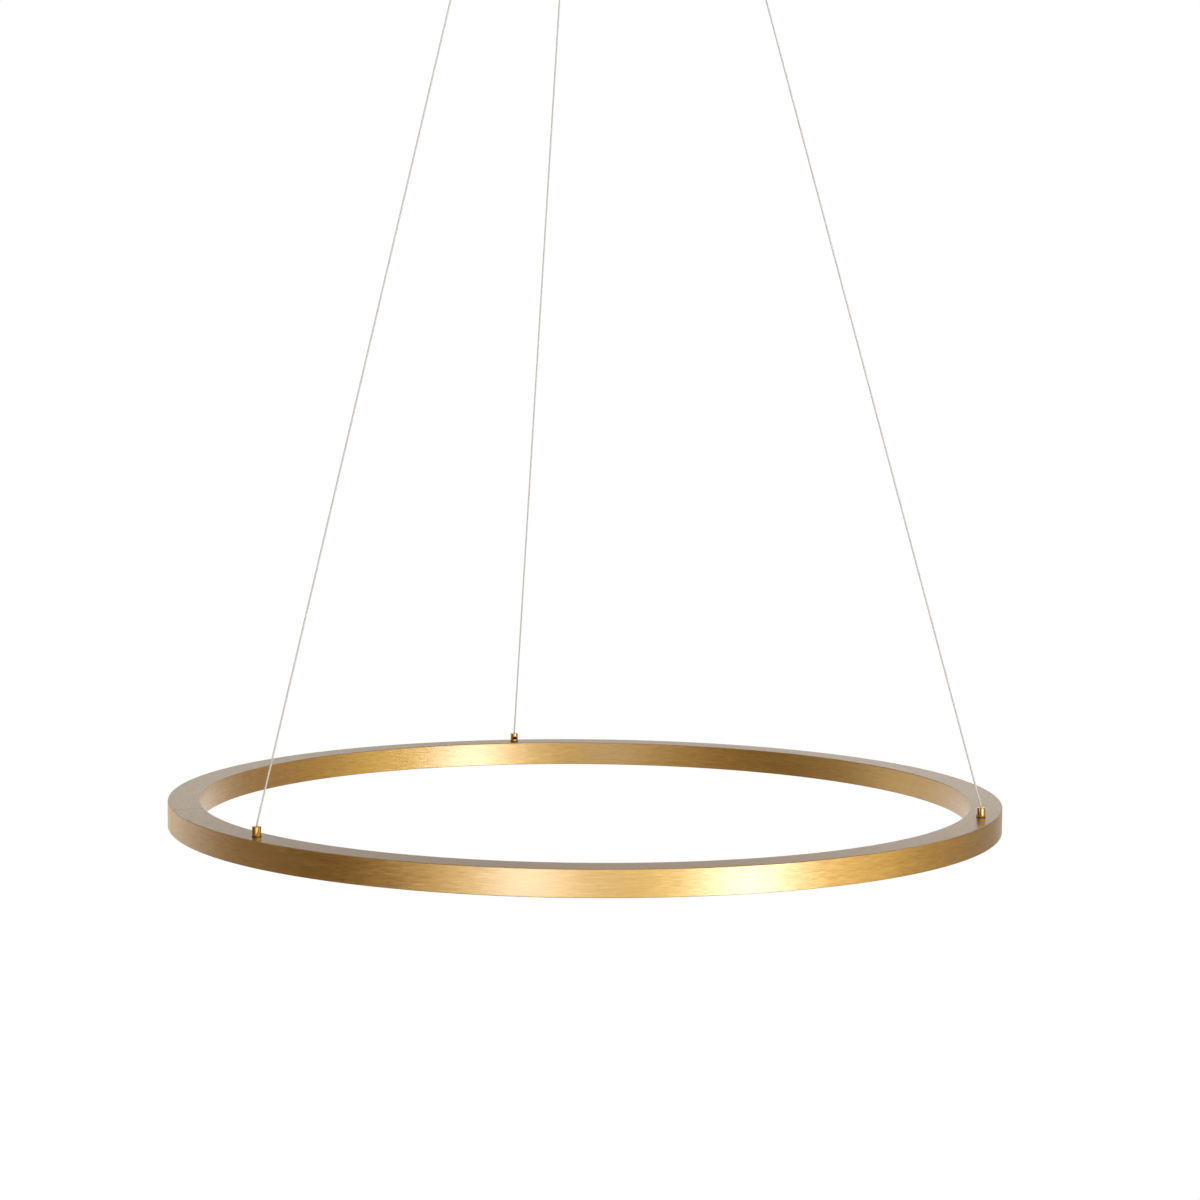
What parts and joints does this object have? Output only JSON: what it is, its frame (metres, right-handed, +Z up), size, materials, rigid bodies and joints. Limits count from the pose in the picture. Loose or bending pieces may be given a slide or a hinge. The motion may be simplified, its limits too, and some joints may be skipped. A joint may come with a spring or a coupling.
{
  "type": "led ring pendant light",
  "caption": "Level brushed gold ring light with an opal underside, hung on thin converging wires from a round ceiling canopy with push-to-release wire grippers.",
  "frame": {"origin": "centre of the ceiling plate's top face, on the ceiling", "axes": "+Z up into the ceiling, +Y towards the back wire, +X to the right seen from the front"},
  "size_m": [0.8, 0.7999, 1.16],
  "materials": {
    "gold_aluminium": "anodised gold tone, brushed round the ring",
    "polished_brass": "polished, clear lacquer",
    "wire_steel": "fine stranded steel under a clear coat",
    "zinc_steel": "bright zinc plate",
    "dark_steel": "black oxide",
    "plain_aluminium": "mill finish",
    "opal_plastic": "satin opal",
    "black_nylon": "moulded",
    "white_plastic": "moulded, fine texture",
    "lead_insulation": "white insulation",
    "earth_insulation": "green and yellow insulation",
    "strip_film": "white solder mask",
    "led_phosphor": "yellow phosphor"
  },
  "bodies": {
    "canopy": {"ceiling_plate": "zinc_steel", "plate_tabs": "zinc_steel", "canopy_cup": "gold_aluminium", "canopy_side_screws": "polished_brass", "gripper_nuts": "zinc_steel", "led_driver": "white_plastic", "terminal_block": "white_plastic", "plate_screws": "zinc_steel", "earth_screw": "zinc_steel", "earth_lead": "earth_insulation", "driver_input_leads": "lead_insulation", "supply_lead_left": "lead_insulation", "supply_lead_right": "lead_insulation", "gripper_body_back": "polished_brass", "gripper_cap_back": "polished_brass", "wire_tail_back": "wire_steel", "gripper_body_left": "polished_brass", "gripper_cap_left": "polished_brass", "wire_tail_left": "wire_steel", "gripper_body_right": "polished_brass", "gripper_cap_right": "polished_brass", "wire_tail_right": "wire_steel"},
    "ring": {"ring_profile": "gold_aluminium", "seam_splice": "plain_aluminium", "splice_screws": "zinc_steel", "led_tray": "plain_aluminium", "tray_standoffs": "plain_aluminium", "tray_screws": "zinc_steel", "led_strip": "strip_film", "led_chips": "led_phosphor", "diffuser": "opal_plastic", "terminal_set_screws": "dark_steel", "terminal_washers": "black_nylon", "terminal_bushes": "black_nylon", "terminal_nuts": "zinc_steel", "terminal_tags": "polished_brass", "ring_leads": "lead_insulation", "wire_ferrule_left": "wire_steel", "wire_ferrule_right": "wire_steel", "ring_terminal_back": "polished_brass", "ring_terminal_left": "polished_brass", "ring_terminal_right": "polished_brass"},
    "wire_end": {"wire_ferrule_back": "wire_steel"},
    "wire_back": {"suspension_wire_back": "wire_steel"},
    "plunger_back": {"gripper_plunger_back": "polished_brass"},
    "wire_left": {"suspension_wire_left": "wire_steel"},
    "plunger_left": {"gripper_plunger_left": "polished_brass"},
    "wire_right": {"suspension_wire_right": "wire_steel"},
    "plunger_right": {"gripper_plunger_right": "polished_brass"}
  },
  "joints": [
    {"name": "sway", "type": "hinge", "parent": "canopy", "child": "wire_back", "pos_m": [0, 0.075, -0.059], "axis": [1, 0, 0], "range_deg": [-6, 6]},
    {"name": "height_adjust", "type": "slide", "parent": "wire_back", "child": "wire_end", "axis": [0, 0, 1], "range_m": [0, 0.6], "deforming": ["suspension_wire_back", "suspension_wire_left", "suspension_wire_right"]},
    {"name": "ring_level", "type": "hinge", "parent": "wire_end", "child": "ring", "pos_m": [0, 0.385, -1.1318], "axis": [1, 0, 0], "range_deg": [-1.2, 1.2]},
    {"name": "wire_left_swing", "type": "hinge", "parent": "canopy", "child": "wire_left", "pos_m": [-0.06495, -0.0375, -0.059], "axis": [1, 0, 0], "range_deg": [-6, 6]},
    {"name": "wire_right_swing", "type": "hinge", "parent": "canopy", "child": "wire_right", "pos_m": [0.06495, -0.0375, -0.059], "axis": [1, 0, 0], "range_deg": [-6, 6]},
    {"name": "release_back", "type": "slide", "parent": "canopy", "child": "plunger_back", "axis": [0, 0, 1], "range_m": [0, 0.002], "stiffness_N_per_m": 600, "springref_m": -0.003},
    {"name": "release_left", "type": "slide", "parent": "canopy", "child": "plunger_left", "axis": [0, 0, 1], "range_m": [0, 0.002], "stiffness_N_per_m": 600, "springref_m": -0.003},
    {"name": "release_right", "type": "slide", "parent": "canopy", "child": "plunger_right", "axis": [0, 0, 1], "range_m": [0, 0.002], "stiffness_N_per_m": 600, "springref_m": -0.003}
  ],
  "couplings": [
    {"joint": "ring_level", "follows": "sway", "ratio": -0.19481},
    {"joint": "wire_left_swing", "follows": "sway", "ratio": 1},
    {"joint": "wire_right_swing", "follows": "sway", "ratio": 1}
  ]
}
